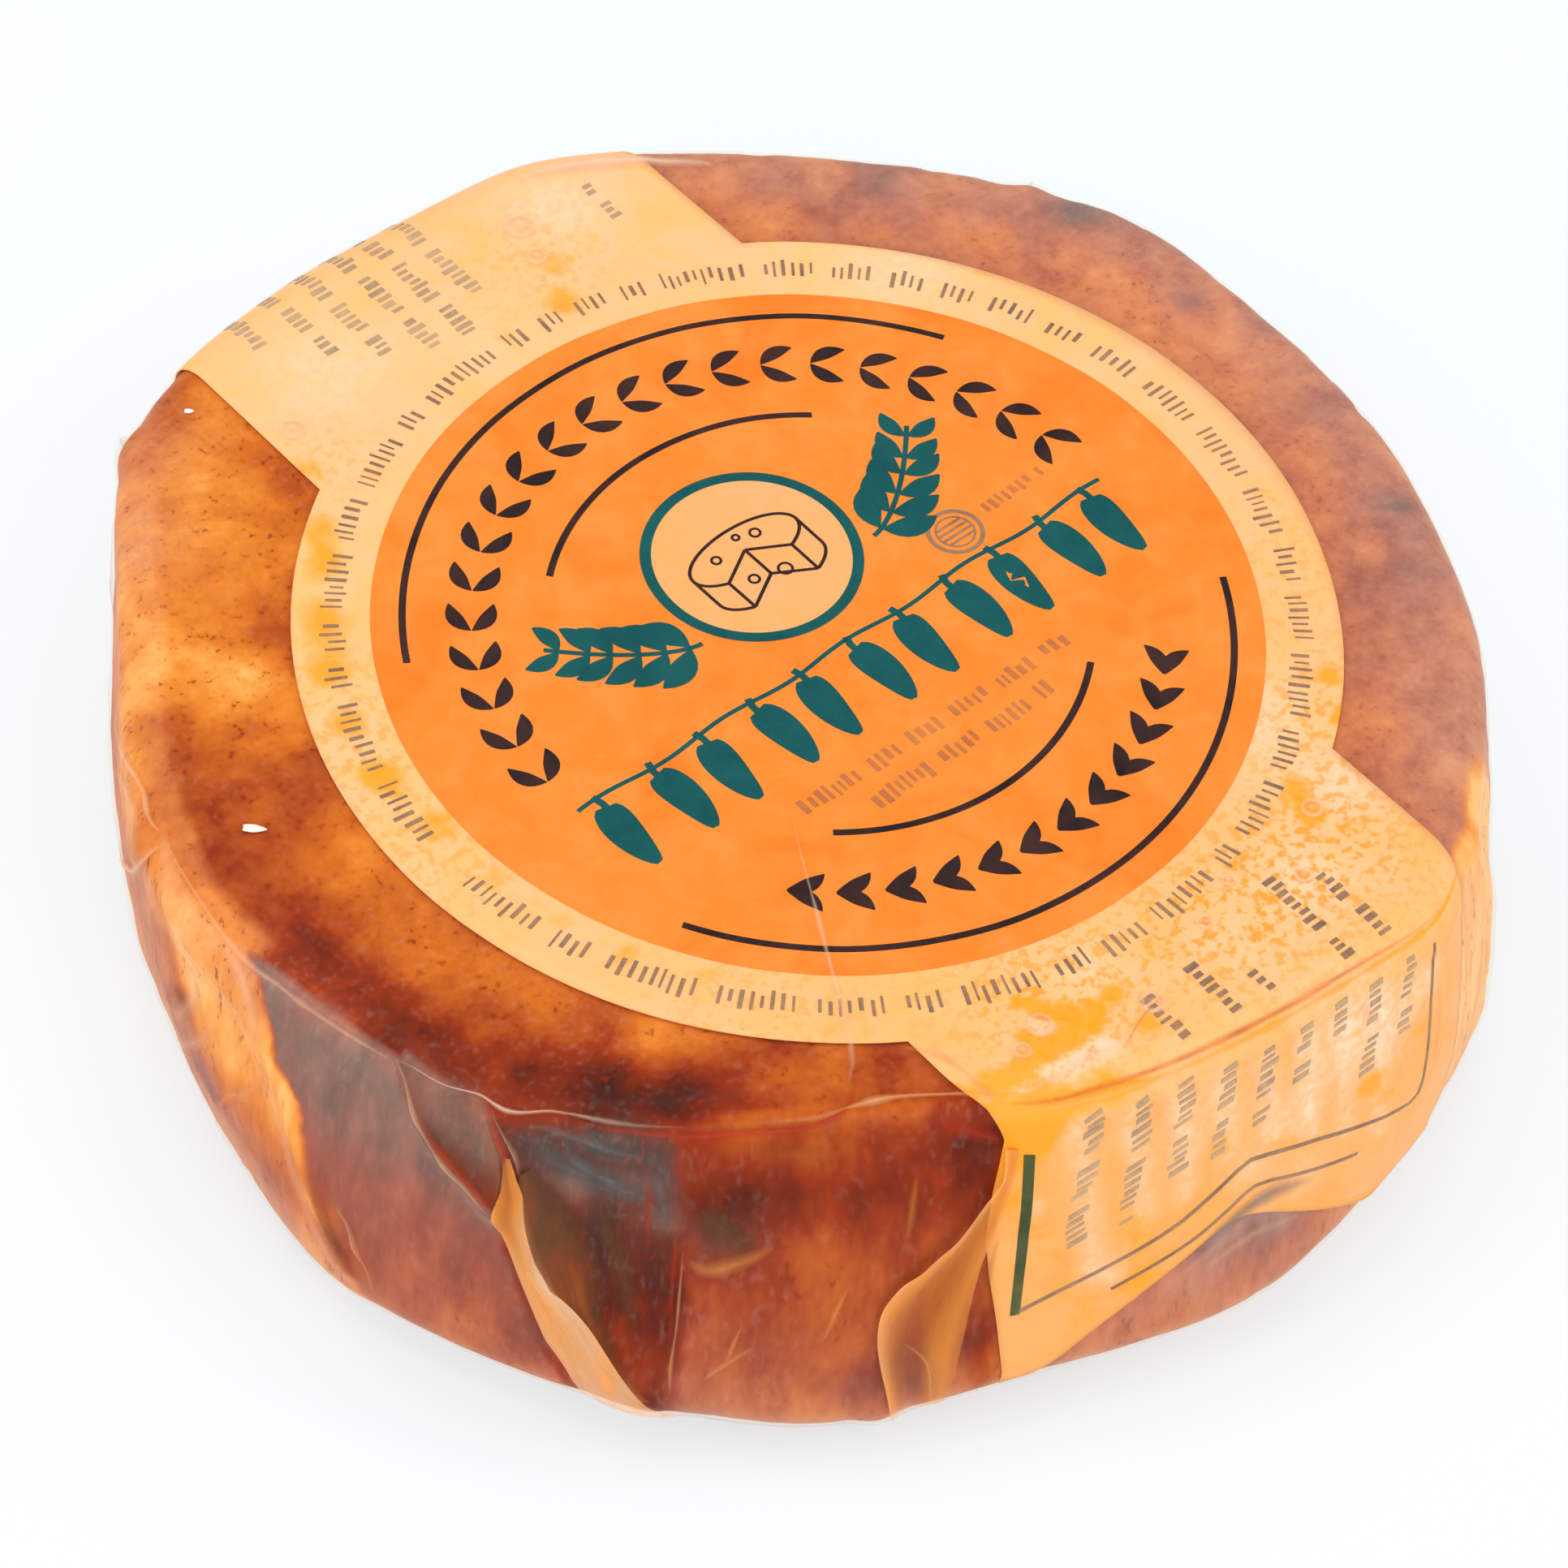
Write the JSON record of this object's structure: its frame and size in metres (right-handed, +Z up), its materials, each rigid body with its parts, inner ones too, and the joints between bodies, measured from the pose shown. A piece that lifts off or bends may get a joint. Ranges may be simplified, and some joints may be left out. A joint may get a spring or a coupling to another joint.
{
  "type": "paprika rind cheese wheel in a clear bag",
  "caption": "Small round wheel of smoked cheese with a paprika rind, shrunk tight into clear film over a paper label with a round face and a band folded down the side.",
  "frame": {"origin": "middle of the footprint's bounding box, on the surface the wheel rests on", "axes": "+Z up, out of the labelled top; +X along the label's reading direction; +Y up the label, so the end of the band that shows best is at -Y"},
  "size_m": [0.1164, 0.1194, 0.0358],
  "materials": {
    "paprika_rind": "oily smoked rind dusted with paprika, mottled from amber to dark red brown, under clear film",
    "label_paper": "cream paper with an orange round, oil-stained, under clear film",
    "clear_film": "thin clear glossy vacuum film with creases and gathered folds"
  },
  "bodies": {
    "root": {"sealed_wheel": "paprika_rind", "paper_label": "label_paper"}
  },
  "joints": []
}
